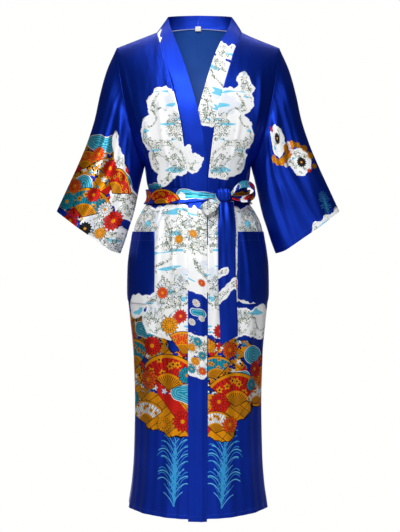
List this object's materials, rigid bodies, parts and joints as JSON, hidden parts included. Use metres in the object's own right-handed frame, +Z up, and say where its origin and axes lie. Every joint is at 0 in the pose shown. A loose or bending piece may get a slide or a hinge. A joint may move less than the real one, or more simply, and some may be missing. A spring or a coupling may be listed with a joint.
{
  "type": "kimono robe",
  "caption": "Long satin kimono robe with wide sleeves, a front band that runs round the neck, patch pockets and a tied sash, filled out as worn.",
  "frame": {"origin": "base of the neck on the middle line, level with the two points where the shoulder seams meet the neckband", "axes": "+X towards the wearer's left, -Y towards the front, +Z up"},
  "size_m": [0.766, 0.2651, 1.3508],
  "materials": {
    "blue_satin": "royal blue polyester satin, glossy outside and duller inside",
    "printed_satin": "the same satin where its print covers most of the ground",
    "sash_satin": "the same printed satin, folded into a sash",
    "label_cloth": "small woven label, bare"
  },
  "bodies": {
    "root": {"back": "blue_satin", "right_front": "blue_satin", "left_front": "blue_satin", "right_sleeve": "printed_satin", "left_sleeve": "printed_satin", "right_band": "blue_satin", "left_band": "blue_satin", "right_pocket": "blue_satin", "left_pocket": "blue_satin", "belt_wrap": "sash_satin", "belt_knot": "blue_satin", "belt_bow": "sash_satin", "belt_fold": "printed_satin", "belt_tail_over": "blue_satin", "belt_tail_under": "printed_satin", "neck_label": "label_cloth"}
  },
  "joints": []
}
